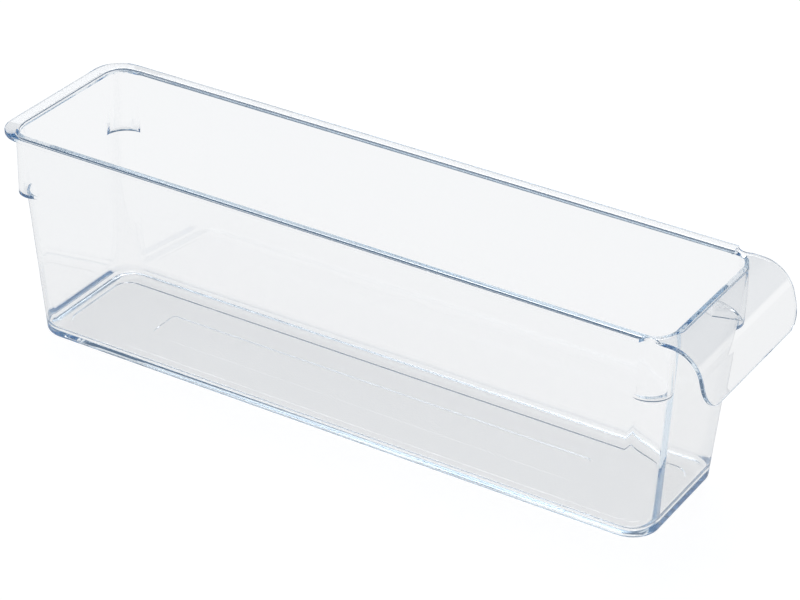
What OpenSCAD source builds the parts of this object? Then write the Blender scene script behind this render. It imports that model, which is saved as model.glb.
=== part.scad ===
// Clear drawer-style bin for a fridge shelf, one moulding, with a bent finger pull.
// Millimetres, +Z up. Origin: centre of the flat underside of the bin body.
// +X is the pull end (front), -Y is the left side seen from the pull.

/* [Bin body] */
// Rim length, back edge to mirrored front edge
rim_len = 351.8; // [300:1:400]
// Rim width, outer edge to outer edge
rim_w = 94; // [80:1:140]
// Height from the underside to the rim top
bin_h = 108; // [90:1:140]
// Wall thickness, measured level
wall_t = 2; // [1.5:0.1:3]
// Floor thickness
floor_t = 2.5; // [1.8:0.1:4]
// Lean of all four walls from upright, degrees
draft = 3.6; // [2:0.1:5]
// Outside radius of the wall corners
corner_r = 14; // [12:0.5:18]
// Radius where the side walls and corners meet the floor inside
cove_r = 4.5; // [2:0.5:6]
// Radius where the back and front walls meet the floor inside
end_cove_r = 7; // [4:0.5:9]
// Radius of the outer bottom edge
foot_r = 1.5; // [0.6:0.1:2]

/* [Rim] */
// Thickness of the rim and of the pull plate
rim_t = 2; // [1.8:0.1:3]
// How far the rim stands out past the side walls
rim_side_out = 3.6; // [3.2:0.1:5]
// How far the rim stands out past the back wall
rim_back_out = 5.2; // [3.8:0.1:6]
// Slope of the rim's underside, thicker towards the wall, degrees
rim_slope = 10; // [2:0.5:14]
// Outside radius of the two back rim corners
rim_r = 14.7; // [11:0.1:18]
// Radius of the inner top edge of the rim
lip_r = 1.5; // [0.6:0.1:1.7]

/* [Stacking shoulders] */
// Depth of the shoulder ledges below the rim top
ledge_drop = 32.3; // [20:0.1:45]
// Outside radius of the upright round shoulders
post_r = 8.8; // [8:0.1:10]
// Inset of the shoulders from the rim's side edges
post_side_in = 4.2; // [4:0.1:5]
// Inset of the shoulders from the rim's back edge
post_end_in = 6.3; // [6:0.1:7]
// Thickness of the ledge plates
ledge_t = 1; // [0.8:0.1:2]

/* [Pull] */
// Outside radius of the bend
bend_r = 17; // [12:0.5:22]
// Flat run between the front wall and the bend
bend_gap = 1.5; // [0.8:0.1:4]
// Lean of the apron from upright, degrees
apron_lean = 15.8; // [5:0.2:25]
// Drop from the rim top to the apron's outer bottom edge
pull_drop = 26.6; // [24:0.2:45]
// Inset of the pull's sides from the rim sides
pull_in = 2.5; // [1:0.1:3]
// Radius of the apron's bottom corners
apron_r = 10.8; // [4:0.2:14]
// Thickness of the rib under the pull
rib_t = 1.5; // [1:0.1:3]
// Reach of the rib under the bend
rib_reach = 11.3; // [6:0.1:12]

/* [Floor] */
// Distance from the floor's side edge to its sunken field
field_in = 12.6; // [9:0.1:20]
// Depth of the sunken field
field_d = 0.3; // [0.1:0.05:0.6]

/* [Display] */
// Part to show

/* [Hidden] */
$fn = 96;

hl = rim_len / 2;
hw = rim_w / 2;
td = tan(draft);
rz = bin_h - rim_t;
cz = floor_t + cove_r;
end_cz = floor_t + end_cove_r;
big = rim_len;

// Half sizes of the wall faces at height z
function outer_x(z) = hl - rim_back_out - td * (bin_h - z);
function outer_y(z) = hw - rim_side_out - td * (bin_h - z);
function inner_x(z) = outer_x(z) - wall_t;
function inner_y(z) = outer_y(z) - wall_t;

// Leaning corner axis: level distance from the faces is radius / cos(draft)
corner_in_r = corner_r - wall_t * cos(draft);
corner_out_d = corner_r / cos(draft);
corner_in_d = corner_in_r / cos(draft);
function axis_x(z) = outer_x(z) - corner_out_d;
function axis_y(z) = outer_y(z) - corner_out_d;
axis_tilt = atan(sqrt(2) * td);

// Inner edge of the wall feet, where the floor panel starts. The cove's round
// ends a little inside the wall so that it crosses the leaning face cleanly, and
// in the corners it starts a hair further out, so that it crosses the floor's edge.
cove_bite = 0.15;
foot_ease = 0.02;
foot_x = inner_x(end_cz) - end_cove_r + cove_bite;
foot_y = inner_y(cz) - cove_r + cove_bite;
foot_in_r = corner_in_d - cove_r + cove_bite + foot_ease;

ledge_z = bin_h - ledge_drop;
pocket_z = ledge_z + ledge_t;
pocket_r = post_r - wall_t;
post_x = hl - post_end_in - post_r;
post_y = hw - post_side_in - post_r;

// Drop of the rim's sloped underside where it meets a wall w inside the rim edge
slope = tan(rim_slope);
function slope_drop(w) = slope * w / (1 - slope * td);
side_drop = slope_drop(hw - outer_y(rz));
back_drop = slope_drop(hl - outer_x(rz));

pull_hw = hw - pull_in;
bend_x = outer_x(rz) + bend_gap;
bend_z = bin_h - bend_r;
bend_in_r = bend_r - rim_t;
apron_len = (pull_drop - bend_r + bend_r * sin(apron_lean)) / cos(apron_lean);
apron_corner = min(apron_r, apron_len - 1);
notch_r = 5;
notch_x = bend_x - 7.8;
notch_y = hw - rim_side_out + 0.2 + notch_r;
rib_dx = min(rib_reach, bend_in_r - 3);
rib_tip_z = bend_z + sqrt(bend_in_r * bend_in_r - rib_dx * rib_dx);
rib_low_z = rib_tip_z - 2.5;

field_x = outer_x(0) - 9;
field_y = outer_y(0) - field_in;
strip_x = field_x * 0.74;
strip_y = min(9, field_y - 4);

clear_blue = [0.78, 0.87, 0.95, 0.35];

// ---------- helpers ----------

// Copy of a front-right corner shape placed at the corner signed (sx, sy)
module place(sx, sy) {
  mirror([sx < 0 ? 1 : 0, 0, 0]) {
    mirror([0, sy < 0 ? 1 : 0, 0]) {
      children();
    }
  }
}

// Right-angled plate outline with one rounded outer corner at (x, y)
module rounded_quarter(x0, y0, x, y, r) {
  difference() {
    translate([x0, y0]) {
      square([x - x0, y - y0]);
    }
    difference() {
      translate([x - r, y - r]) {
        square([r + 1, r + 1]);
      }
      translate([x - r, y - r]) {
        circle(r);
      }
    }
  }
}

// Level profile pushed along X, centred
module along_x(len) {
  rotate([90, 0, 90]) {
    linear_extrude(height = len, center = true) {
      children();
    }
  }
}

// Level profile pushed along Y, centred
module along_y(len) {
  rotate([90, 0, 0]) {
    linear_extrude(height = len, center = true) {
      children();
    }
  }
}

// Foot section from x = f outwards: floor thickness plus the hollow cove
module foot_section(f, cove) {
  difference() {
    translate([f, 0]) {
      square([cove, floor_t + cove]);
    }
    translate([f, floor_t + cove]) {
      circle(cove);
    }
  }
}

// Waste outside the rounded outer bottom edge of a wall whose face is at x = o
module foot_waste(o) {
  difference() {
    translate([o - foot_r, -1]) {
      square([foot_r + 2, foot_r + 1]);
    }
    translate([o - foot_r, foot_r]) {
      circle(foot_r);
    }
  }
}

// Wall section with foot cove and rounded outer bottom edge.
// o0, o1, of: outer face at the bottom, top and foot round; f: foot edge
module wall_section(o0, o1, of, f, cove) {
  difference() {
    union() {
      polygon([[o0 - wall_t, 0], [o0, 0], [o1, rz], [o1 - wall_t, rz]]);
      foot_section(f, cove);
    }
    foot_waste(of);
  }
}

// Flange section from the inner wall face to edge, inner top edge rounded.
// Its underside slopes down by drop from the edge to the outer wall face.
module flange_section(inner, edge, drop) {
  outer = inner + wall_t;
  difference() {
    polygon([
      [inner, rz], [outer, rz], [outer - td * drop, rz - drop],
      [edge, rz], [edge, bin_h], [inner, bin_h]
    ]);
    difference() {
      translate([inner - 1, bin_h - lip_r]) {
        square([lip_r + 1, lip_r + 1]);
      }
      translate([inner + lip_r, bin_h - lip_r]) {
        circle(lip_r);
      }
    }
  }
}

// Wedge under the rim: from radius or distance r at the edge inwards
module slope_section(r) {
  polygon([[r, rz], [r - 9, rz], [r - 9, rz - 9 * slope]]);
}

// Region kept for the straight part of a wall: half width a(z) at both ends
module straight_span(ac, ar) {
  polygon([[-ac, -1], [ac, -1], [ac, cz], [ar, rz], [ar, rz + 1],
    [-ar, rz + 1], [-ar, rz], [-ac, cz]]);
}

// Region kept for a corner, beyond the same slanted plane
module corner_span(ac, ar) {
  polygon([[ac, 0], [ac + 40, 0], [ar + 40, rz], [ar, rz], [ac, cz]]);
}

// Leaning round bar on the corner axis
module leaning_bar(r) {
  translate([axis_x(0), axis_y(0), 0]) {
    rotate([0, axis_tilt, 45]) {
      translate([0, 0, -20]) {
        cylinder(r = r, h = bin_h + 45);
      }
    }
  }
}

// ---------- body ----------

module side_wall() {
  intersection() {
    along_x(big) {
      wall_section(outer_y(0), outer_y(rz), outer_y(foot_r), foot_y, cove_r);
    }
    along_y(big) {
      straight_span(axis_x(cz), axis_x(rz));
    }
  }
}

module end_wall() {
  intersection() {
    along_y(big) {
      wall_section(outer_x(0), outer_x(rz), outer_x(foot_r), foot_x, end_cove_r);
    }
    along_x(big * 2) {
      straight_span(axis_y(cz), axis_y(rz));
    }
  }
}

// Round upright bar at a shoulder, from height z up
module post(r, z) {
  translate([post_x, post_y, z]) {
    cylinder(r = r, h = bin_h + 1 - z);
  }
}

module wall_corner() {
  difference() {
    intersection() {
      union() {
        difference() {
          leaning_bar(corner_r);
          leaning_bar(corner_in_r);
        }
        translate([axis_x(cz), axis_y(cz), 0]) {
          rotate_extrude() {
            foot_section(foot_in_r, cove_r);
          }
        }
        // the end wall's larger cove runs on into the corner
        intersection() {
          leaning_bar(corner_r - wall_t / 2);
          along_y(big) {
            foot_section(foot_x, end_cove_r);
          }
        }
      }
      along_y(big) {
        corner_span(axis_x(cz), axis_x(rz));
      }
      along_x(big * 2) {
        corner_span(axis_y(cz), axis_y(rz));
      }
    }
    translate([axis_x(cz), axis_y(cz), 0]) {
      rotate_extrude() {
        foot_waste(outer_x(foot_r) - axis_x(cz) + 0.02);
      }
    }
    post(pocket_r, pocket_z);
  }
}

// Crescent that stands out past the wall corner, hollow above its ledge plate
module shoulder() {
  difference() {
    intersection() {
      translate([post_x, post_y, ledge_z]) {
        cylinder(r = post_r, h = rz - ledge_z);
      }
      along_y(big) {
        corner_span(axis_x(cz), axis_x(rz));
      }
      along_x(big * 2) {
        corner_span(axis_y(cz), axis_y(rz));
      }
    }
    leaning_bar(corner_r);
    post(pocket_r, pocket_z);
  }
}

// ---------- rim ----------

// Waste inside the rounded top edge of a round opening of radius r
module lip_waste(r) {
  rotate_extrude() {
    difference() {
      translate([r - 1, bin_h - lip_r]) {
        square([lip_r + 1, lip_r + 1]);
      }
      translate([r + lip_r, bin_h - lip_r]) {
        circle(lip_r);
      }
    }
  }
}

// What a rim corner leaves open: the corner, the shoulder's pocket, both lips
module rim_corner_waste() {
  post(pocket_r, pocket_z);
  translate([axis_x(rz), axis_y(rz), 0]) {
    lip_waste(corner_in_d);
  }
  translate([post_x, post_y, 0]) {
    lip_waste(pocket_r);
  }
}

// Sloped underside of a back rim corner, outside the wall and the shoulder
module back_corner_slope() {
  difference() {
    union() {
      intersection() {
        translate([hl - rim_r, hw - rim_r, 0]) {
          rotate_extrude() {
            slope_section(rim_r);
          }
        }
        translate([hl - rim_r, hw - rim_r, 0]) {
          cube([rim_r + 1, rim_r + 1, bin_h]);
        }
      }
      intersection() {
        along_x(big * 2) {
          slope_section(hw);
        }
        translate([axis_x(rz), 0, 0]) {
          cube([hl - rim_r - axis_x(rz), hw + 1, bin_h]);
        }
      }
      intersection() {
        along_y(big) {
          slope_section(hl);
        }
        translate([0, axis_y(rz), 0]) {
          cube([hl + 1, hw - rim_r - axis_y(rz), bin_h]);
        }
      }
    }
    leaning_bar(corner_r);
    post(post_r, ledge_z);
  }
}

// Sloped underside of a front rim corner, up to the end of the notch
module front_corner_slope() {
  difference() {
    intersection() {
      along_x(big * 2) {
        slope_section(hw);
      }
      translate([axis_x(rz), axis_y(rz), 0]) {
        cube([notch_x + notch_r - axis_x(rz), hw, bin_h]);
      }
    }
    leaning_bar(corner_r);
    post(post_r, ledge_z);
    translate([notch_x, notch_y, 0]) {
      cylinder(r = notch_r, h = bin_h + 1);
    }
    translate([notch_x, pull_hw, 0]) {
      cube([big, big, bin_h + 1]);
    }
  }
}

module back_corner_rim() {
  difference() {
    union() {
      translate([0, 0, rz]) {
        linear_extrude(height = rim_t) {
          difference() {
            rounded_quarter(axis_x(rz), axis_y(rz), hl, hw, rim_r);
            translate([axis_x(rz), axis_y(rz)]) {
              circle(corner_in_d);
            }
          }
        }
      }
      back_corner_slope();
    }
    rim_corner_waste();
  }
}

module front_corner_rim() {
  difference() {
    union() {
      translate([0, 0, rz]) {
        linear_extrude(height = rim_t) {
          difference() {
            polygon([
              [axis_x(rz), axis_y(rz)], [bend_x, axis_y(rz)], [bend_x, pull_hw],
              [notch_x, pull_hw], [notch_x, hw], [axis_x(rz), hw]
            ]);
            translate([axis_x(rz), axis_y(rz)]) {
              circle(corner_in_d);
            }
            translate([notch_x, notch_y]) {
              circle(notch_r);
            }
          }
        }
      }
      front_corner_slope();
    }
    rim_corner_waste();
  }
}

// Front rim section, with a hollow fillet between the wall and the bend
module front_rim_section() {
  difference() {
    flange_section(inner_x(rz), bend_x, bend_gap);
    translate([bend_x, rz - bend_gap]) {
      circle(bend_gap);
    }
  }
}

module side_rim() {
  along_x(2 * axis_x(rz)) {
    flange_section(inner_y(rz), hw, side_drop);
  }
}

// ---------- nodes ----------

module floor_panel() {
  color(clear_blue) {
    difference() {
      linear_extrude(height = floor_t) {
        difference() {
          square([2 * foot_x, 2 * foot_y], center = true);
          for (sx = [-1, 1]) {
            for (sy = [-1, 1]) {
              place(sx, sy) {
                difference() {
                  translate([axis_x(cz), axis_y(cz)]) {
                    square([foot_in_r + 1, foot_in_r + 1]);
                  }
                  translate([axis_x(cz), axis_y(cz)]) {
                    circle(foot_in_r);
                  }
                }
              }
            }
          }
        }
      }
      // sunken field with round corners, and a slightly deeper strip inside it
      translate([0, 0, floor_t - field_d]) {
        linear_extrude(height = 2) {
          difference() {
            square([2 * field_x, 2 * field_y], center = true);
            for (sx = [-1, 1]) {
              for (sy = [-1, 1]) {
                place(sx, sy) {
                  difference() {
                    translate([field_x - 8, field_y - 8]) {
                      square([9, 9]);
                    }
                    translate([field_x - 8, field_y - 8]) {
                      circle(8);
                    }
                  }
                }
              }
            }
          }
        }
      }
      translate([-strip_x, -strip_y, floor_t - field_d - 0.15]) {
        cube([2 * strip_x, 2 * strip_y, 2]);
      }
      // shallow round mark left by the mould gate at the middle
      translate([0, 0, floor_t - field_d - 0.4]) {
        cylinder(r = 2, h = 2);
      }
    }
  }
}

module left_wall() {
  color(clear_blue) {
    mirror([0, 1, 0]) {
      side_wall();
    }
  }
}

module right_wall() {
  color(clear_blue) {
    side_wall();
  }
}

module back_wall() {
  color(clear_blue) {
    mirror([1, 0, 0]) {
      end_wall();
    }
  }
}

module front_wall() {
  color(clear_blue) {
    end_wall();
  }
}

module front_left_corner() {
  color(clear_blue) {
    place(1, -1) {
      wall_corner();
    }
  }
}

module front_right_corner() {
  color(clear_blue) {
    place(1, 1) {
      wall_corner();
    }
  }
}

module back_left_corner() {
  color(clear_blue) {
    place(-1, -1) {
      wall_corner();
    }
  }
}

module back_right_corner() {
  color(clear_blue) {
    place(-1, 1) {
      wall_corner();
    }
  }
}

module front_left_shoulder() {
  color(clear_blue) {
    place(1, -1) {
      shoulder();
    }
  }
}

module front_right_shoulder() {
  color(clear_blue) {
    place(1, 1) {
      shoulder();
    }
  }
}

module back_left_shoulder() {
  color(clear_blue) {
    place(-1, -1) {
      shoulder();
    }
  }
}

module back_right_shoulder() {
  color(clear_blue) {
    place(-1, 1) {
      shoulder();
    }
  }
}

module left_rim() {
  color(clear_blue) {
    mirror([0, 1, 0]) {
      side_rim();
    }
  }
}

module right_rim() {
  color(clear_blue) {
    side_rim();
  }
}

module back_rim() {
  color(clear_blue) {
    mirror([1, 0, 0]) {
      along_y(2 * axis_y(rz)) {
        flange_section(inner_x(rz), hl, back_drop);
      }
    }
  }
}

module front_rim() {
  color(clear_blue) {
    along_y(2 * axis_y(rz)) {
      front_rim_section();
    }
  }
}

module front_left_rim_corner() {
  color(clear_blue) {
    place(1, -1) {
      front_corner_rim();
    }
  }
}

module front_right_rim_corner() {
  color(clear_blue) {
    place(1, 1) {
      front_corner_rim();
    }
  }
}

module back_left_rim_corner() {
  color(clear_blue) {
    place(-1, -1) {
      back_corner_rim();
    }
  }
}

module back_right_rim_corner() {
  color(clear_blue) {
    place(-1, 1) {
      back_corner_rim();
    }
  }
}

module pull_bend() {
  color(clear_blue) {
    translate([bend_x, 0, bend_z]) {
      along_y(2 * pull_hw) {
        intersection() {
          difference() {
            circle(bend_r);
            circle(bend_in_r);
          }
          polygon([[0, 0], [2 * bend_r, 2 * bend_r * tan(apron_lean)],
            [2 * bend_r, 2 * bend_r], [0, 2 * bend_r]]);
        }
      }
    }
  }
}

module pull_apron() {
  color(clear_blue) {
    translate([bend_x, 0, bend_z]) {
      rotate([0, -apron_lean, 0]) {
        translate([bend_in_r, 0, -apron_len]) {
          rotate([90, 0, 90]) {
            linear_extrude(height = rim_t) {
              difference() {
                translate([-pull_hw, 0]) {
                  square([2 * pull_hw, apron_len]);
                }
                for (sy = [-1, 1]) {
                  mirror([sy < 0 ? 1 : 0, 0]) {
                    difference() {
                      translate([pull_hw - apron_corner, -1]) {
                        square([apron_corner + 1, apron_corner + 1]);
                      }
                      translate([pull_hw - apron_corner, apron_corner]) {
                        circle(apron_corner);
                      }
                    }
                  }
                }
              }
            }
          }
        }
      }
    }
  }
}

module pull_rib() {
  color(clear_blue) {
    along_y(rib_t) {
      difference() {
        intersection() {
          polygon([
            [outer_x(rib_low_z), rib_low_z], [bend_x + rib_dx, rib_tip_z],
            [bend_x + rib_dx, rz], [outer_x(rz), rz]
          ]);
          union() {
            translate([bend_x, bend_z]) {
              circle(bend_in_r);
            }
            translate([bend_x - 20, rib_low_z - 5]) {
              square([20, rz - rib_low_z + 5]);
            }
          }
        }
        front_rim_section();
      }
    }
  }
}

floor_panel();
left_wall();
right_wall();
back_wall();
front_wall();
front_left_corner();
front_right_corner();
back_left_corner();
back_right_corner();
front_left_shoulder();
front_right_shoulder();
back_left_shoulder();
back_right_shoulder();
left_rim();
right_rim();
back_rim();
front_rim();
front_left_rim_corner();
front_right_rim_corner();
back_left_rim_corner();
back_right_rim_corner();
pull_bend();
pull_apron();
pull_rib();
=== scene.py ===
"""Clear plastic fridge bin with a bent finger pull, dressed for a studio picture.

The bin is one clear moulding, and clear plastic only looks right as one closed skin, so a single
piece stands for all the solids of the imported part. The skin is a grid: its columns are stations
round the plan of the bin, and its rows run from the middle of the floor up the inside of the
walls, over the rim and the pull, and down the outside to the middle of the underside.
"""

import logging
import math
from dataclasses import dataclass, field
from enum import Enum

import bpy
import numpy as np
from mathutils import Matrix, Vector

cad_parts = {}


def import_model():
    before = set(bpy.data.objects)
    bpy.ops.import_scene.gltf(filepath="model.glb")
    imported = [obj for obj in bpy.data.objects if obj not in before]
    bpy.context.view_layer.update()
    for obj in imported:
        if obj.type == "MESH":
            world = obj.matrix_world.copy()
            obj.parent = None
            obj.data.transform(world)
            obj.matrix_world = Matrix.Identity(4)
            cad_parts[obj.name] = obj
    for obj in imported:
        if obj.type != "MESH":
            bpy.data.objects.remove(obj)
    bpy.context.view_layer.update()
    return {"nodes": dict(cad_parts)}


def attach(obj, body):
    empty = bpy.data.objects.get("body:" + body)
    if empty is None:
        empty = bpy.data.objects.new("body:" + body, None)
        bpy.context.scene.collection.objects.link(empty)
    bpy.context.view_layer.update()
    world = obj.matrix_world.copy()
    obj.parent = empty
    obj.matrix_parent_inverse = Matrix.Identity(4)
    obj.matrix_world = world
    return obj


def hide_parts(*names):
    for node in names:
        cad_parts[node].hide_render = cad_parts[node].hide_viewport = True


log = logging.getLogger("fridge_bin")

MM = 0.001
LIGHT_BOUNCES = 256
CLEAR_BOUNCES = 96


class Side(Enum):
    """The kinds of place that a station round the plan can have."""

    LONG = 0
    CORNER = 1
    SHORT = 2


def corner_normals(points: np.ndarray, tris: np.ndarray, limit: float) -> np.ndarray:
    """Shading normals for each corner of each triangle.

    A corner's normal is the sum of the area vectors of the triangles that share its point and
    face within the limit angle of its own triangle, made one long. Big flats so stay flat.

    Args:
        points: vertex places, (n, 3).
        tris: vertex numbers, (m, 3).
        limit: largest angle in degrees over which the shading runs smooth.

    Returns:
        Unit normals, (3 m, 3), in the order of the triangle corners.
    """
    a, b, c = (points[tris[:, k]] for k in range(3))
    area = np.cross(b - a, c - a)
    unit = area / np.maximum(np.linalg.norm(area, axis=1, keepdims=True), 1e-30)
    corner_point = tris.ravel()
    corner_face = np.repeat(np.arange(len(tris)), 3)
    order = np.argsort(corner_point, kind="stable")
    first = np.searchsorted(corner_point[order], np.arange(len(points)))
    count = np.bincount(corner_point, minlength=len(points))
    total = np.zeros((len(corner_point), 3))
    cosine = math.cos(math.radians(limit))
    for k in range(int(count.max())):
        has = count[corner_point] > k
        other = np.where(has, order[np.minimum(first[corner_point] + k, len(order) - 1)], 0)
        face = corner_face[other]
        near = has & (np.einsum("ij,ij->i", unit[face], unit[corner_face]) > cosine)
        total += area[face] * near[:, None]
    length = np.linalg.norm(total, axis=1, keepdims=True)
    return np.where(length > 1e-30, total / np.maximum(length, 1e-30), unit[corner_face])


def skin_from_rows(rows: list[np.ndarray]) -> tuple[np.ndarray, np.ndarray]:
    """Joins rows of stations into one closed skin of triangles.

    Point (i, j) is station j of row i. The cell between (i, j), (i+1, j), (i+1, j+1) and (i, j+1)
    is cut into two triangles. Points that fall together become one, and cells that shrink to a
    line or a point drop out, which closes the two ends where a row lies on the middle line.

    Args:
        rows: places of the stations in millimetres, each (n, 3), from the inside to the outside.

    Returns:
        Vertex places in metres, (v, 3), and vertex numbers, (t, 3).
    """
    grid = np.stack(rows)
    count, around = grid.shape[:2]
    rounded = np.round(grid.reshape(-1, 3), 4)
    points, number = np.unique(rounded, axis=0, return_inverse=True)
    number = number.reshape(count, around)
    nxt = np.roll(number, -1, axis=1)
    a, b = number[:-1], number[1:]
    c, d = nxt[1:], nxt[:-1]
    tris = np.concatenate(
        [np.stack([a, b, c], -1).reshape(-1, 3), np.stack([a, c, d], -1).reshape(-1, 3)]
    )
    whole = (tris[:, 0] != tris[:, 1]) & (tris[:, 1] != tris[:, 2]) & (tris[:, 0] != tris[:, 2])
    return points * MM, tris[whole]


def mesh_object(name: str, points: np.ndarray, tris: np.ndarray, smooth: float) -> bpy.types.Object:
    """Makes a mesh object from triangles, with its own shading normals.

    Args:
        name: name of the object and its mesh.
        points: vertex places in metres, (v, 3).
        tris: vertex numbers, (t, 3), counter-clockwise seen from outside.
        smooth: largest angle in degrees over which the shading runs smooth.

    Returns:
        The object, linked to the scene, at the origin.
    """
    mesh = bpy.data.meshes.new(name)
    mesh.vertices.add(len(points))
    mesh.vertices.foreach_set("co", points.astype(np.float32).ravel())
    mesh.loops.add(tris.size)
    mesh.loops.foreach_set("vertex_index", tris.astype(np.int32).ravel())
    mesh.polygons.add(len(tris))
    mesh.polygons.foreach_set("loop_start", np.arange(0, tris.size, 3, dtype=np.int32))
    mesh.polygons.foreach_set("use_smooth", np.ones(len(tris), bool))
    mesh.update(calc_edges=True)
    mesh.validate()
    mesh.normals_split_custom_set(corner_normals(points, tris, smooth).astype(np.float32))
    obj = bpy.data.objects.new(name, mesh)
    bpy.context.scene.collection.objects.link(obj)
    return obj


@dataclass(frozen=True)
class ClearPlastic:
    """Clear glossy plastic that turns blue where light travels far inside it."""

    name: str = "clear_plastic"
    ior: float = 1.57
    roughness: float = 0.0
    depth_colour: tuple[float, float, float] = (0.25, 0.56, 0.80)
    depth_per_metre: float = 3.4

    def build(self) -> bpy.types.Material:
        """Makes the material: a clear Principled surface over a Volume Absorption inside.

        Returns:
            The material.
        """
        material = bpy.data.materials.new(self.name)
        material.use_nodes = True
        tree = material.node_tree
        tree.nodes.clear()
        out = tree.nodes.new("ShaderNodeOutputMaterial")
        surface = tree.nodes.new("ShaderNodeBsdfPrincipled")
        surface.inputs["Base Color"].default_value = (1.0, 1.0, 1.0, 1.0)
        surface.inputs["Roughness"].default_value = self.roughness
        surface.inputs["IOR"].default_value = self.ior
        surface.inputs["Transmission Weight"].default_value = 1.0
        inside = tree.nodes.new("ShaderNodeVolumeAbsorption")
        inside.inputs["Color"].default_value = (*self.depth_colour, 1.0)
        inside.inputs["Density"].default_value = self.depth_per_metre
        tree.links.new(surface.outputs["BSDF"], out.inputs["Surface"])
        tree.links.new(inside.outputs["Volume"], out.inputs["Volume"])
        return material


@dataclass(frozen=True)
class PaperWhite:
    """Matte white paper under the bin, which reads as white to the camera and keeps the shadow."""

    name: str = "paper_white"
    colour: tuple[float, float, float] = (0.15, 0.15, 0.15)
    lift_to_eye: float = 0.95
    lift_in_gloss: float = 0.55
    lift_more_through: float = 0.285

    def build(self) -> bpy.types.Material:
        """Makes the material: diffuse paper plus a lift seen by camera, gloss and clear rays.

        Returns:
            The material.
        """
        material = bpy.data.materials.new(self.name)
        material.use_nodes = True
        tree = material.node_tree
        tree.nodes.clear()
        out = tree.nodes.new("ShaderNodeOutputMaterial")
        paper = tree.nodes.new("ShaderNodeBsdfDiffuse")
        paper.inputs["Color"].default_value = (*self.colour, 1.0)
        glow = tree.nodes.new("ShaderNodeEmission")
        both = tree.nodes.new("ShaderNodeAddShader")
        seen = seen_strength(tree, (self.lift_to_eye, self.lift_in_gloss, self.lift_more_through))
        tree.links.new(seen, glow.inputs["Strength"])
        tree.links.new(paper.outputs[0], both.inputs[0])
        tree.links.new(glow.outputs[0], both.inputs[1])
        tree.links.new(both.outputs[0], out.inputs["Surface"])
        return material


def seen_strength(tree: bpy.types.NodeTree, strengths: tuple[float, float, float]) -> bpy.types.NodeSocket:
    """Adds nodes that give one strength each for camera, glossy and transmission rays.

    A ray that came through the clear plastic counts as glossy and as transmission, so it gets both
    shares. A ray mirrored by its outer face gets the glossy share alone, and other rays get 0.

    Args:
        tree: node tree of the paper's material.
        strengths: strength for camera rays, glossy rays and transmission rays.

    Returns:
        The socket with that value.
    """
    path = tree.nodes.new("ShaderNodeLightPath")
    total = None
    for kind, strength in zip(("Is Camera Ray", "Is Glossy Ray", "Is Transmission Ray"), strengths):
        share = tree.nodes.new("ShaderNodeMath")
        share.operation = "MULTIPLY_ADD"
        share.inputs[1].default_value = strength
        share.inputs[2].default_value = 0.0
        tree.links.new(path.outputs[kind], share.inputs[0])
        if total is not None:
            tree.links.new(total, share.inputs[2])
        total = share.outputs[0]
    return total


@dataclass
class BodySizes:
    """Sizes of the bin in millimetres: those of the CAD source, and the small rounds of the skin."""

    rim_len: float = 351.8
    rim_w: float = 94.0
    bin_h: float = 108.0
    wall_t: float = 2.0
    floor_t: float = 2.5
    draft: float = 3.6
    corner_r: float = 14.0
    front_in_r: float = 10.0
    back_in_r: float = 10.5
    cove_r: float = 4.5
    end_cove_r: float = 7.0
    foot_r: float = 2.0
    rim_t: float = 2.0
    rim_side_out: float = 3.6
    rim_back_out: float = 5.2
    rim_slope: float = 10.0
    rim_r: float = 14.7
    lip_r: float = 1.5
    edge_r: float = 0.45
    ledge_drop: float = 32.3
    ledge_t: float = 1.0
    post_r: float = 8.8
    post_side_in: float = 4.2
    post_end_in: float = 6.3
    post_blend: float = 0.8
    bend_r: float = 17.0
    bend_gap: float = 1.5
    apron_lean: float = 15.8
    pull_drop: float = 26.6
    pull_in: float = 2.5
    apron_r: float = 10.8
    notch_r: float = 5.0
    notch_back: float = 7.8
    notch_clear: float = 0.2
    rib_t: float = 1.5
    rib_reach: float = 11.3
    rib_foot: float = 2.5
    rib_clear: float = 3.0
    field_in: float = 12.6
    field_end_in: float = 9.0
    field_r: float = 8.0
    field_d: float = 0.3
    field_step: float = 0.3
    strip_share: float = 0.74
    strip_half: float = 9.0
    strip_r: float = 2.2
    strip_d: float = 0.15
    strip_step: float = 0.15

    def __post_init__(self) -> None:
        """Works out the values that follow from the sizes."""
        self.hl = self.rim_len / 2
        self.hw = self.rim_w / 2
        self.td = math.tan(math.radians(self.draft))
        self.rz = self.bin_h - self.rim_t
        self.cosine = math.cos(math.radians(self.draft))
        self.out_d = self.corner_r / self.cosine
        self.slope = math.tan(math.radians(self.rim_slope))
        self.ledge_z = self.bin_h - self.ledge_drop
        self.pocket_z = self.ledge_z + self.ledge_t
        self.post_x = self.hl - self.post_end_in - self.post_r
        self.post_y = self.hw - self.post_side_in - self.post_r
        self.pull_hw = self.hw - self.pull_in
        self.bend_x = self.outer_x(self.rz) + self.bend_gap
        self.bend_z = self.bin_h - self.bend_r
        self.lean = math.radians(self.apron_lean)
        apron_fall = self.pull_drop - self.bend_r + self.bend_r * math.sin(self.lean)
        self.apron_len = apron_fall / math.cos(self.lean)
        self.turn = math.pi / 2 - self.lean
        self.notch_x = self.bend_x - self.notch_back
        self.bend_end = self.bend_x + self.bend_r * self.turn
        self.sheet_end = self.bend_end + self.apron_len

    def outer_x(self, z: float) -> float:
        """Half length of the outer wall faces at height z."""
        return self.hl - self.rim_back_out - self.td * (self.bin_h - z)

    def outer_y(self, z: float) -> float:
        """Half width of the outer wall faces at height z."""
        return self.hw - self.rim_side_out - self.td * (self.bin_h - z)

    def axis_x(self, z: float) -> float:
        """Distance of the leaning corner axes from the middle, along X, at height z."""
        return self.outer_x(z) - self.out_d

    def axis_y(self, z: float) -> float:
        """Distance of the leaning corner axes from the middle, along Y, at height z."""
        return self.outer_y(z) - self.out_d


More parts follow.
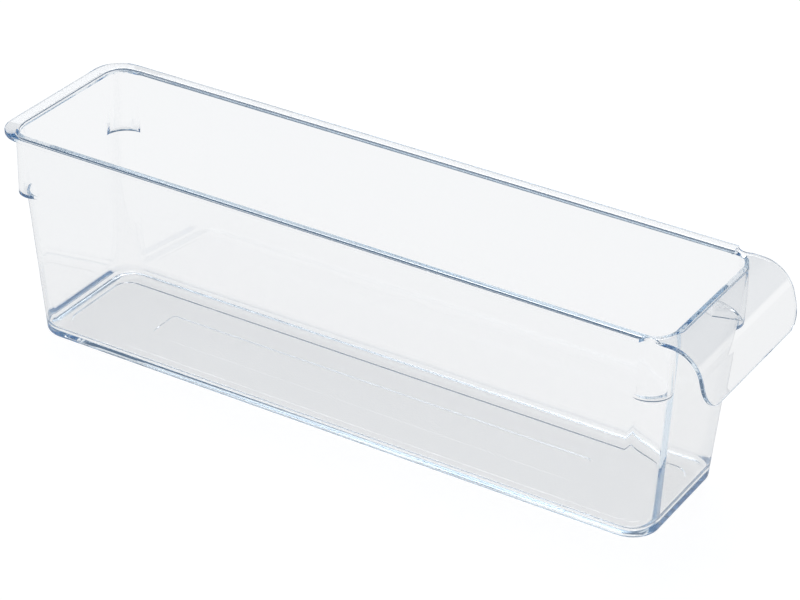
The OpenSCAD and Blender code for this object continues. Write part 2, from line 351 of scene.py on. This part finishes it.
class PullSheet:
    """The plate of the rim and pull, laid out flat and then rolled over the bend."""

    def __init__(self, sizes: BodySizes) -> None:
        """Keeps the sizes.

        Args:
            sizes: sizes of the bin.
        """
        self.s = sizes

    def roll(self, along: np.ndarray, across: np.ndarray, depth: np.ndarray) -> np.ndarray:
        """Rolls points of the flat layout over the bend.

        Up to the bend a point keeps its place. On the bend its distance becomes an angle on a
        circle of the bend radius less the depth. Past it, the point goes on straight down the
        apron, which leans outwards.

        Args:
            along: distance along X on the flat layout, in millimetres.
            across: distance along Y.
            depth: depth under the top face.

        Returns:
            Points (n, 3) in millimetres.
        """
        s = self.s
        along, across, depth = np.broadcast_arrays(*(np.asarray(v, float) for v in (along, across, depth)))
        angle = np.clip((along - s.bend_x) / s.bend_r, 0.0, s.turn)
        radius = s.bend_r - depth
        rest = np.maximum(along - s.bend_end, 0.0)
        flat = along <= s.bend_x
        x = np.where(flat, along, s.bend_x + radius * np.sin(angle) + rest * math.sin(s.lean))
        z = np.where(flat, s.bin_h - depth, s.bend_z + radius * np.cos(angle) - rest * math.cos(s.lean))
        return np.stack([x, across, z], -1)

    def corner_path(self, parts: tuple[int, ...]) -> np.ndarray:
        """Outer edge of one front corner on the flat layout, from the long side to the apron's end.

        It runs straight along the rim, round the hollow notch, straight along the pull over the
        bend and the apron, and round the apron's corner.

        Args:
            parts: number of steps in each of the six stretches.

        Returns:
            Points (sum of parts + 1, 2), with the long side at positive Y.
        """
        s = self.s
        nx = s.notch_x
        ny = s.hw - s.rim_side_out + s.notch_clear + s.notch_r
        first = math.acos((ny - s.hw) / s.notch_r)
        last = math.acos((ny - s.pull_hw) / s.notch_r)
        x0 = nx - s.notch_r * math.sin(first)
        x1 = nx + s.notch_r * math.sin(last)
        corner = min(s.apron_r, s.apron_len - 1)
        side_end = s.sheet_end - corner
        swing = np.linspace(-first, last, parts[1] + 1)[1:]
        round_off = np.linspace(0, math.pi / 2, parts[5] + 1)[1:]
        corner_x = side_end + corner * np.sin(round_off)
        corner_y = s.pull_hw - corner * (1 - np.cos(round_off))
        stretches = [
            np.stack([np.linspace(s.axis_x(s.rz), x0, parts[0] + 1), np.full(parts[0] + 1, s.hw)], -1),
            np.stack([nx + s.notch_r * np.sin(swing), ny - s.notch_r * np.cos(swing)], -1),
            self.straight(x1, s.bend_x, parts[2]),
            self.straight(s.bend_x, s.bend_end, parts[3]),
            self.straight(s.bend_end, side_end, parts[4]),
            np.stack([corner_x, corner_y], -1),
        ]
        return np.concatenate(stretches)

    def straight(self, start: float, end: float, steps: int) -> np.ndarray:
        """Points along the pull's side edge, without the first one."""
        x = np.linspace(start, end, steps + 1)[1:]
        return np.stack([x, np.full(steps, self.s.pull_hw)], -1)


class BinSkin:
    """Works out the rows of the bin's closed skin."""

    FRONT_PARTS = (3, 12, 4, 18, 6, 18)
    BACK_STEPS = 28
    LONG_STEPS = 14
    SHORT_STEPS = 8
    COVE_STEPS = 12
    INNER_STEPS = 8
    POCKET_STEPS = 12
    LIP_STEPS = 8
    SHEET_STEPS = (4, 26, 6)
    EDGE_STEPS = 4
    FILLET_STEPS = 6
    SHOULDER_STEPS = 16
    OUTER_STEPS = 8
    FOOT_STEPS = 8
    FILLET_FADE = math.pi / 5
    UNDERSIDE_IN = 20.0

    def __init__(self, sizes: BodySizes) -> None:
        """Lays out the stations round the plan.

        Args:
            sizes: sizes of the bin.
        """
        self.s = sizes
        self.sheet = PullSheet(sizes)
        self._stations()

    def _stations(self) -> None:
        """Sets for each station its kind, its signs, its share of a straight and its angle.

        The angle is 0 where the plan faces along X and a quarter turn where it faces along Y. The
        front corner angles follow the outer edge of the pull, so that cells stay even there.
        """
        s = self.s
        path = self.sheet.corner_path(self.FRONT_PARTS)
        polar = np.arctan2(path[:, 1] - s.axis_y(s.rz), path[:, 0] - s.axis_x(s.rz))
        front = (polar - polar[-1]) * (math.pi / 2) / (polar[0] - polar[-1])
        back = np.linspace(math.pi / 2, 0, self.BACK_STEPS + 1)
        kind, sx, sy, share, angle, outer = [], [], [], [], [], []
        quarter = math.pi / 2

        def add(k: Side, x: float, y: float, g: np.ndarray, a: np.ndarray, edge: np.ndarray) -> None:
            """Adds one stretch of stations."""
            n = len(a)
            kind.append(np.full(n, k.value))
            sx.append(np.full(n, float(x)))
            sy.append(np.full(n, float(y)))
            share.append(g)
            angle.append(a)
            outer.append(edge)

        long_share = np.linspace(-1, 1, self.LONG_STEPS + 1)[1:-1]
        short_share = np.linspace(-1, 1, self.SHORT_STEPS + 1)[1:-1]
        long_x = np.where(long_share > 0, s.axis_x(s.rz), s.hl - s.rim_r) * long_share
        long_edge = np.stack([long_x, np.full(len(long_x), -s.hw)], -1)
        front_y = path[-1, 1] * short_share
        front_edge = np.stack([np.full(len(front_y), s.sheet_end), front_y], -1)
        back_edge = np.stack([np.full(len(front_y), -s.hl), (s.hw - s.rim_r) * short_share], -1)
        arc_x = -(s.hl - s.rim_r + s.rim_r * np.cos(back))
        arc_y = s.hw - s.rim_r + s.rim_r * np.sin(back)
        arc = np.stack([arc_x, arc_y], -1)
        flip = np.array([1.0, -1.0])
        zero = np.zeros
        add(Side.LONG, 1, -1, long_share, np.full(len(long_share), quarter), long_edge)
        add(Side.CORNER, 1, -1, zero(len(front)), front, path * flip)
        add(Side.SHORT, 1, 1, short_share, zero(len(short_share)), front_edge)
        add(Side.CORNER, 1, 1, zero(len(front)), front[::-1], path[::-1])
        add(Side.LONG, 1, 1, long_share[::-1], np.full(len(long_share), quarter), long_edge[::-1] * flip)
        add(Side.CORNER, -1, 1, zero(len(back)), back, arc)
        add(Side.SHORT, -1, 1, short_share[::-1], zero(len(short_share)), back_edge[::-1])
        add(Side.CORNER, -1, -1, zero(len(back)), back[::-1], arc[::-1] * flip)
        self.kind, self.sx, self.sy = (np.concatenate(v) for v in (kind, sx, sy))
        self.share, self.angle, self.edge = (np.concatenate(v) for v in (share, angle, outer))
        ahead, behind = np.roll(self.edge, -1, axis=0), np.roll(self.edge, 1, axis=0)
        tangent = ahead - behind
        tangent /= np.linalg.norm(tangent, axis=1, keepdims=True)
        self.edge_out = np.stack([tangent[:, 1], -tangent[:, 0]], -1)
        self.long, self.short = self.kind == Side.LONG.value, self.kind == Side.SHORT.value
        self.corner = self.kind == Side.CORNER.value
        blend = 0.5 - 0.5 * np.cos(2 * self.angle)
        self.cove_r = s.end_cove_r + (s.cove_r - s.end_cove_r) * blend
        self.in_r = np.where(np.where(self.long, self.share, self.sx) > 0, s.front_in_r, s.back_in_r)
        on_pull = np.clip((self.edge[:, 0] - s.notch_x) / s.notch_r, 0, 1)
        self.sloped = 1 - on_pull * on_pull * (3 - 2 * on_pull)
        front = np.clip(1 - self.angle / self.FILLET_FADE, 0, 1) * (self.sx > 0) * ~self.long
        self.fillet = s.bend_gap * front * front * (3 - 2 * front)

    def place(self, reach: np.ndarray, z: np.ndarray | float) -> np.ndarray:
        """One row from level distances measured from the leaning corner axes.

        A corner's stations lie on rays from the axis at their own angles. The stations of the
        straights lie between two axes, at their share of the way.

        Args:
            reach: distance from the axis for each station, in millimetres.
            z: height, one number or one for each station.

        Returns:
            Points (n, 3) in millimetres.
        """
        s = self.s
        height = np.broadcast_to(np.asarray(z, float), self.share.shape)
        ax, ay = s.axis_x(height), s.axis_y(height)
        cx = np.where(self.long, self.share * ax, self.sx * ax)
        cy = np.where(self.short, self.share * ay, self.sy * ay)
        x = cx + self.sx * reach * np.cos(self.angle) * ~self.long
        y = cy + self.sy * reach * np.sin(self.angle) * ~self.short
        return np.stack([x, y, height], -1)

    def loop(self, ax: float, ay: float, radius: float, z: float) -> np.ndarray:
        """One level row of a rounded rectangle with its corner centres at (ax, ay).

        Args:
            ax: distance of the corner centres from the middle along X.
            ay: the same along Y.
            radius: radius of the corners.
            z: height.

        Returns:
            Points (n, 3) in millimetres.
        """
        cx = np.where(self.long, self.share * ax, self.sx * ax)
        cy = np.where(self.short, self.share * ay, self.sy * ay)
        x = cx + self.sx * radius * np.cos(self.angle) * ~self.long
        y = cy + self.sy * radius * np.sin(self.angle) * ~self.short
        return np.stack([x, y, np.full(len(x), z)], -1)

    def to_plan(
        self, z: np.ndarray | float, far_x: np.ndarray, far_y: np.ndarray, radius: np.ndarray
    ) -> np.ndarray:
        """Distance from the corner axis to a rounded rectangle, along each station's ray.

        The ray meets the plane at far_x or far_y, whichever is nearer, unless it meets it past
        the start of the round. There it meets the circle, by the usual root.

        Args:
            z: height.
            far_x: half length of the rectangle.
            far_y: half width of it.
            radius: radius of its corners.

        Returns:
            Distances (n,) in millimetres.
        """
        s = self.s
        dx, dy = far_x - s.axis_x(z), far_y - s.axis_y(z)
        c, n = np.cos(self.angle), np.sin(self.angle)
        flat = np.minimum(dx / np.maximum(c, 1e-9), dy / np.maximum(n, 1e-9))
        curved = (flat * c > dx - radius) & (flat * n > dy - radius)
        return np.where(curved, self.to_circle(dx - radius, dy - radius, radius), flat)

    def to_circle(self, dx: np.ndarray, dy: np.ndarray, radius: np.ndarray) -> np.ndarray:
        """Distance from the corner axis to the far side of a circle with its centre at (dx, dy).

        It is zero where the ray misses the circle.

        Args:
            dx: centre, along X from the axis.
            dy: centre, along Y from the axis.
            radius: radius of the circle.

        Returns:
            Distances (n,) in millimetres.
        """
        along = np.cos(self.angle) * dx + np.sin(self.angle) * dy
        root = along**2 - (dx**2 + dy**2 - radius**2)
        return np.where(root > 0, along + np.sqrt(np.maximum(root, 0)), 0.0)

    def with_post(self, reach: np.ndarray, z: np.ndarray | float, radius: float) -> np.ndarray:
        """The larger of a reach and the far side of the upright shoulder's circle, in corners.

        Where the two lie within the blend of each other, a parabola rounds the crease.

        Args:
            reach: distances (n,) of the wall face from the corner axis.
            z: height.
            radius: radius of the shoulder's circle.

        Returns:
            Distances (n,) in millimetres.
        """
        s = self.s
        post = self.to_circle(s.post_x - s.axis_x(z), s.post_y - s.axis_y(z), radius)
        near = np.maximum(1 - np.abs(reach - post) / s.post_blend, 0)
        return np.where(self.corner, np.maximum(reach, post) + near**2 * s.post_blend / 4, reach)

    def inside(self, z: np.ndarray | float, grow: float = 0.0) -> np.ndarray:
        """Reach of the inner wall face at height z, moved outwards by grow."""
        s = self.s
        inward = s.wall_t - grow
        return self.to_plan(z, s.outer_x(z) - inward, s.outer_y(z) - inward, self.in_r + grow)

    def outside(self) -> np.ndarray:
        """Reach of the outer wall face, the same at all heights, longest on the diagonal."""
        tilt = math.atan(math.sqrt(2) * self.s.td)
        return self.s.corner_r / np.sqrt(1 - (math.sin(tilt) * np.cos(self.angle - math.pi / 4)) ** 2)

    def middle(self, half: float, z: float) -> np.ndarray:
        """Row that lies on the middle line of the floor, from -half to half along X."""
        x = np.where(self.long, self.share, self.sx) * half
        return np.stack([x, np.zeros(len(x)), np.full(len(x), z)], -1)

    def cove(self, turn: float) -> tuple[np.ndarray, np.ndarray]:
        """Row of the cove between the floor and the inner wall face.

        The cove is a quarter round that touches both. Its radius runs from that of the end walls
        to that of the side walls round each corner.

        Args:
            turn: angle along the quarter round, 0 at the floor.

        Returns:
            The reach and the height of each station.
        """
        s = self.s
        centre_z = s.floor_t + self.cove_r
        grow = self.cove_r * (math.sin(turn) - 1 / s.cosine)
        far_x, far_y = s.outer_x(centre_z) - s.wall_t + grow, s.outer_y(centre_z) - s.wall_t + grow
        z = centre_z - self.cove_r * math.cos(turn)
        return self.to_plan(z, far_x, far_y, np.maximum(self.in_r + grow, 1.0)), z

    def floor_rows(self) -> list[np.ndarray]:
        """Rows of the floor's upper face: middle line, strip and sunken field."""
        s = self.s
        field_x, field_y = s.outer_x(0) - s.field_end_in, s.outer_y(0) - s.field_in
        strip_x = field_x * s.strip_share
        field_z = s.floor_t - s.field_d
        strip_z = field_z - s.strip_d
        field = (field_x - s.field_r, field_y - s.field_r)
        strip = (strip_x - s.strip_r, s.strip_half - s.strip_r)
        return [
            self.middle(strip_x - s.strip_half, strip_z),
            self.loop(*strip, s.strip_r - s.strip_step, strip_z),
            self.loop(*strip, s.strip_r, field_z),
            self.loop(*field, s.field_r - s.field_step, field_z),
            self.loop(*field, s.field_r, s.floor_t),
        ]

    def inner_rows(self) -> list[np.ndarray]:
        """Rows of the cove, the inner wall face with its pockets, and the rounded top edge."""
        s = self.s
        last = math.pi / 2 - math.radians(s.draft)
        rows = [self.place(*self.cove(a)) for a in np.linspace(0, last, self.COVE_STEPS + 1)]
        start = self.cove(last)[1]
        for f in np.linspace(0, 1, self.INNER_STEPS + 1)[1:]:
            z = start + (s.pocket_z - start) * f
            rows.append(self.place(self.inside(z), z))
        pocket = s.post_r - s.wall_t
        for z in np.linspace(s.pocket_z, s.rz, self.POCKET_STEPS + 1):
            rows.append(self.place(self.with_post(self.inside(z), z, pocket), z))
        top = s.bin_h - s.lip_r
        for a in np.linspace(0, math.pi / 2, self.LIP_STEPS + 1):
            rows.append(self.place(self.lip(s.lip_r * (1 - math.cos(a))), s.rz))
            rows[-1][:, 2] = top + s.lip_r * math.sin(a)
        return rows

    def lip(self, grow: float) -> np.ndarray:
        """Reach of the opening's edge at the rim, moved outwards by grow."""
        s = self.s
        return self.with_post(self.inside(s.rz, grow), s.rz, s.post_r - s.wall_t + grow)

    def sheet_rows(
        self, start: np.ndarray, end: np.ndarray, depth: float, drop: np.ndarray
    ) -> list[np.ndarray]:
        """Rows of the rim and pull plate between two edges on the flat layout.

        Each station's line from start to end is cut where it crosses the two ends of the bend, so
        that rows lie along the bend. Lines that end before the bend have those rows at their end.

        Args:
            start: inner edge, (n, 2).
            end: outer edge, (n, 2).
            depth: depth under the top face at the end.
            drop: how much deeper the face lies at the start, for each station.

        Returns:
            Rows from just past start to end.
        """
        s = self.s
        run = end[:, 0] - start[:, 0]
        past = end[:, 0] > s.bend_x + 1e-9
        safe = np.where(past, run, 1.0)
        one = np.where(past, np.clip((s.bend_x - start[:, 0]) / safe, 0, 1), 1.0)
        two = np.where(past, np.clip((s.bend_end - start[:, 0]) / safe, one, 1), 1.0)
        marks = [np.zeros(len(one)), one, two, np.ones(len(one))]
        rows = []
        for k, steps in enumerate(self.SHEET_STEPS):
            for t in np.linspace(0, 1, steps + 1)[1:]:
                f = marks[k] + (marks[k + 1] - marks[k]) * t
                p = start + (end - start) * f[:, None]
                rows.append(self.sheet.roll(p[:, 0], p[:, 1], depth + drop * (1 - f)))
        return rows

    def rim_rows(self) -> list[np.ndarray]:
        """Rows of the plate's top face, its rounded edge and its under face."""
        s = self.s
        inner = self.place(self.lip(s.lip_r), s.rz)[:, :2]
        inset = self.edge - self.edge_out * s.edge_r
        level = np.zeros(len(self.share))
        rows = self.sheet_rows(inner, inset, 0.0, level)
        quarter = np.linspace(0, math.pi / 2, self.EDGE_STEPS + 1)
        turns = [(s.edge_r * (1 - math.sin(a)), s.edge_r * (1 - math.cos(a))) for a in quarter[1:]]
        turns += [(s.edge_r * (1 - math.cos(a)), s.rim_t - s.edge_r * (1 - math.sin(a))) for a in quarter]
        for back, depth in turns:
            p = self.edge - self.edge_out * back
            rows.append(self.sheet.roll(p[:, 0], p[:, 1], depth))
        under = self.under_edge()
        rows += self.sheet_rows(under[:, :2], inset, s.rim_t, s.rz - under[:, 2])[::-1][1:]
        return rows

    def under_edge(self) -> np.ndarray:
        """Line where the rim's under face starts at the wall or at the fillet under the pull."""
        s = self.s
        flat = self.place(self.with_post(self.outside(), s.rz, s.post_r), s.rz)
        away = np.abs(np.einsum("ij,ij->i", self.edge - flat[:, :2], self.edge_out))
        drop = s.slope * away / (1 - s.slope * s.td) * self.sloped
        z = s.rz - drop
        edge = self.place(self.with_post(self.outside(), z, s.post_r), z)
        edge[:, 0] += self.fillet
        return edge

    def outer_rows(self) -> list[np.ndarray]:
        """Rows of the fillet, shoulders, ledges, outer walls, bottom edge and underside."""
        s = self.s
        start = self.under_edge()[:, 2]
        rows = []
        for a in np.linspace(0, math.pi / 2, self.FILLET_STEPS + 1):
            z = start - self.fillet * (1 - math.cos(a))
            rows.append(self.place(self.with_post(self.outside(), z, s.post_r), z))
            rows[-1][:, 0] += self.fillet * (1 - math.sin(a))
        start = start - self.fillet
        for f in np.linspace(0, 1, self.SHOULDER_STEPS + 1)[1:]:
            z = start + (s.ledge_z - start) * f
            rows.append(self.place(self.with_post(self.outside(), z, s.post_r), z))
        for z in np.linspace(s.ledge_z, s.foot_r, self.OUTER_STEPS + 1):
            rows.append(self.place(self.outside(), z))
        for a in np.linspace(0, math.pi / 2, self.FOOT_STEPS + 1)[1:]:
            row = self.place(self.outside() - s.foot_r * (1 - math.cos(a)), s.foot_r)
            row[:, 2] = s.foot_r * (1 - math.sin(a))
            rows.append(row)
        rows.append(self.middle(s.axis_x(0) - self.UNDERSIDE_IN, 0.0))
        return rows

    def rows(self) -> list[np.ndarray]:
        """All rows of the skin, from the inside of the floor to the underside."""
        return self.floor_rows() + self.inner_rows() + self.rim_rows() + self.outer_rows()


@dataclass
class BinMoulding:
    """The whole clear moulding as one closed piece, and the thin rib under its pull."""

    sizes: BodySizes = field(default_factory=BodySizes)
    finish: ClearPlastic = field(default_factory=ClearPlastic)
    smooth: float = 32.0
    rib_smooth: float = 30.0
    rib_gap: float = 0.04

    def build(self) -> list[bpy.types.Object]:
        """Makes the skin and the rib, and dresses both.

        Returns:
            The two objects.
        """
        points, tris = skin_from_rows(BinSkin(self.sizes).rows())
        body = mesh_object("bin_moulding", points, tris, self.smooth)
        rib = mesh_object("rib_under_pull", *self.rib_mesh(), self.rib_smooth)
        clear = self.finish.build()
        for piece in (body, rib):
            piece.data.materials.append(clear)
            log.info("%s: %d triangles", piece.name, len(piece.data.polygons))
        return [body, rib]

    def rib_mesh(self) -> tuple[np.ndarray, np.ndarray]:
        """The rib as two faces and the wall between them.

        Its outline runs down the front wall, straight out to the bend, and back along the bend's
        under side, a hair inside the moulding's faces so that the two clear skins never cross.

        Returns:
            Vertex places in metres and vertex numbers of the triangles.
        """
        s, gap = self.sizes, self.rib_gap
        inner = s.bend_r - s.rim_t - gap
        reach = min(s.rib_reach, s.bend_r - s.rim_t - s.rib_clear)
        tip = s.bend_z + math.sqrt(inner**2 - reach**2)
        low = s.bend_z + math.sqrt((s.bend_r - s.rim_t) ** 2 - reach**2) - s.rib_foot
        round_off = np.linspace(0, math.pi / 2, 8)[:-1]
        hollow = s.bend_gap - gap
        fillet_x = s.bend_x - hollow * np.sin(round_off)
        fillet_z = s.rz - s.bend_gap + hollow * np.cos(round_off)
        fillet = np.stack([fillet_x, fillet_z], -1)
        angle = np.linspace(0, math.asin(reach / inner), 16)
        curve = np.stack([s.bend_x + inner * np.sin(angle), s.bend_z + inner * np.cos(angle)], -1)[::-1]
        outline = np.concatenate([fillet, [[s.outer_x(low) + gap, low]], curve])
        foot = len(fillet) + 1
        outline[foot, 1] = min(outline[foot, 1], tip)
        n = len(outline)
        half = s.rib_t / 2
        left = np.stack([outline[:, 0], np.full(n, -half), outline[:, 1]], -1)
        right = np.stack([outline[:, 0], np.full(n, half), outline[:, 1]], -1)
        fan = np.arange(1, n - 1)
        near = np.stack([np.zeros(n - 2, int), fan, fan + 1], -1)
        far = near[:, ::-1] + n
        a = np.arange(n)
        b = (a + 1) % n
        wall = np.concatenate([np.stack([a, a + n, b], -1), np.stack([b, a + n, b + n], -1)])
        return np.concatenate([left, right]) * MM, np.concatenate([near, far, wall])


@dataclass
class Studio:
    """White paper, a pale room, a soft lamp and the camera. Sizes are in metres."""

    eye: tuple[float, float, float] = (0.59774, -0.972557, 0.721707)
    right: tuple[float, float, float] = (0.85232202, 0.52262708, 0.02020167)
    up: tuple[float, float, float] = (-0.27937541, 0.4222842, 0.86233719)
    lens: float = 130.845
    sensor: float = 36.0
    paper_half: float = 6.0
    paper_z: float = -0.0002
    horizon_z: tuple[float, float] = (0.14, 0.26)
    lamp_place: tuple[float, float, float] = (-0.4, 0.6, 1.9)
    lamp_aim: tuple[float, float, float] = (0.0, 0.0, 0.05)
    lamp_size: float = 1.6
    lamp_power: float = 22.0
    room_low: tuple[float, float, float] = (0.95, 0.95, 0.95)
    room_high: tuple[float, float, float] = (0.12, 0.18, 0.26)

    def camera(self) -> bpy.types.Object:
        """Makes the camera at the picture's place and turn.

        Returns:
            The camera object.
        """
        data = bpy.data.cameras.new("camera")
        data.lens = self.lens
        data.sensor_width = self.sensor
        data.sensor_fit = "HORIZONTAL"
        data.clip_start = 0.01
        data.clip_end = 100.0
        cam = bpy.data.objects.new("camera", data)
        right, up = Vector(self.right).normalized(), Vector(self.up).normalized()
        back = right.cross(up).normalized()
        up = back.cross(right)
        turn = Matrix((right, up, back)).transposed().to_4x4()
        cam.matrix_world = Matrix.Translation(Vector(self.eye)) @ turn
        bpy.context.scene.collection.objects.link(cam)
        bpy.context.scene.camera = cam
        return cam

    def paper(self) -> bpy.types.Object:
        """Makes the paper that the bin stands on.

        Returns:
            The paper's object.
        """
        h, z = self.paper_half, self.paper_z
        mesh = bpy.data.meshes.new("paper")
        mesh.from_pydata([(-h, -h, z), (h, -h, z), (h, h, z), (-h, h, z)], [], [(0, 1, 2, 3)])
        paper = bpy.data.objects.new("paper", mesh)
        bpy.context.scene.collection.objects.link(paper)
        paper.data.materials.append(PaperWhite().build())
        return paper

    def room(self) -> None:
        """Sets the room's light: white near the horizon, dim blue overhead."""
        world = bpy.data.worlds.new("room")
        bpy.context.scene.world = world
        world.use_nodes = True
        tree = world.node_tree
        tree.nodes.clear()
        out = tree.nodes.new("ShaderNodeOutputWorld")
        sky = tree.nodes.new("ShaderNodeBackground")
        coordinate = tree.nodes.new("ShaderNodeTexCoord")
        split = tree.nodes.new("ShaderNodeSeparateXYZ")
        ramp = tree.nodes.new("ShaderNodeMapRange")
        ramp.interpolation_type = "SMOOTHSTEP"
        ramp.inputs["From Min"].default_value = self.horizon_z[0]
        ramp.inputs["From Max"].default_value = self.horizon_z[1]
        blend = tree.nodes.new("ShaderNodeMix")
        blend.data_type = "RGBA"
        blend.inputs[6].default_value = (*self.room_low, 1.0)
        blend.inputs[7].default_value = (*self.room_high, 1.0)
        tree.links.new(coordinate.outputs["Generated"], split.inputs[0])
        tree.links.new(split.outputs["Z"], ramp.inputs["Value"])
        tree.links.new(ramp.outputs[0], blend.inputs[0])
        tree.links.new(blend.outputs[2], sky.inputs["Color"])
        tree.links.new(sky.outputs[0], out.inputs["Surface"])

    def lamp(self, name: str, place: Vector, aim: Vector, size: float, power: float) -> bpy.types.Object:
        """Makes one square soft lamp.

        Args:
            name: name of the lamp.
            place: where it hangs, in metres.
            aim: the point it faces.
            size: length of its sides in metres.
            power: power in watts.

        Returns:
            The lamp's object.
        """
        data = bpy.data.lights.new(name, "AREA")
        data.shape = "SQUARE"
        data.size = size
        data.energy = power
        lamp = bpy.data.objects.new(name, data)
        turn = (aim - place).to_track_quat("-Z", "Y").to_matrix().to_4x4()
        lamp.matrix_world = Matrix.Translation(place) @ turn
        bpy.context.scene.collection.objects.link(lamp)
        return lamp

    def build(self) -> list[bpy.types.Object]:
        """Makes the camera, the paper, the room and the lamp.

        Returns:
            The objects that belong to the stage.
        """
        self.camera()
        self.room()
        paper = self.paper()
        place, aim = Vector(self.lamp_place), Vector(self.lamp_aim)
        self.lamp("lamp_over", place, aim, self.lamp_size, self.lamp_power)
        return [paper]


def main() -> None:
    """Builds the bin and the studio, in order."""
    logging.basicConfig(level=logging.INFO, format="%(name)s: %(message)s")
    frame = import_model()
    scene = bpy.context.scene
    scene.view_settings.view_transform = "Standard"
    scene.cycles.max_bounces = LIGHT_BOUNCES
    scene.cycles.transmission_bounces = CLEAR_BOUNCES
    scene.cycles.glossy_bounces = LIGHT_BOUNCES
    stage = Studio().build()
    body, rib = BinMoulding().build()
    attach(body, "root")
    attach(rib, "root")
    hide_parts(*sorted(n for n in frame["nodes"] if n != "pull_rib"))
    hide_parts("pull_rib")


if __name__ == "__main__":
    main()
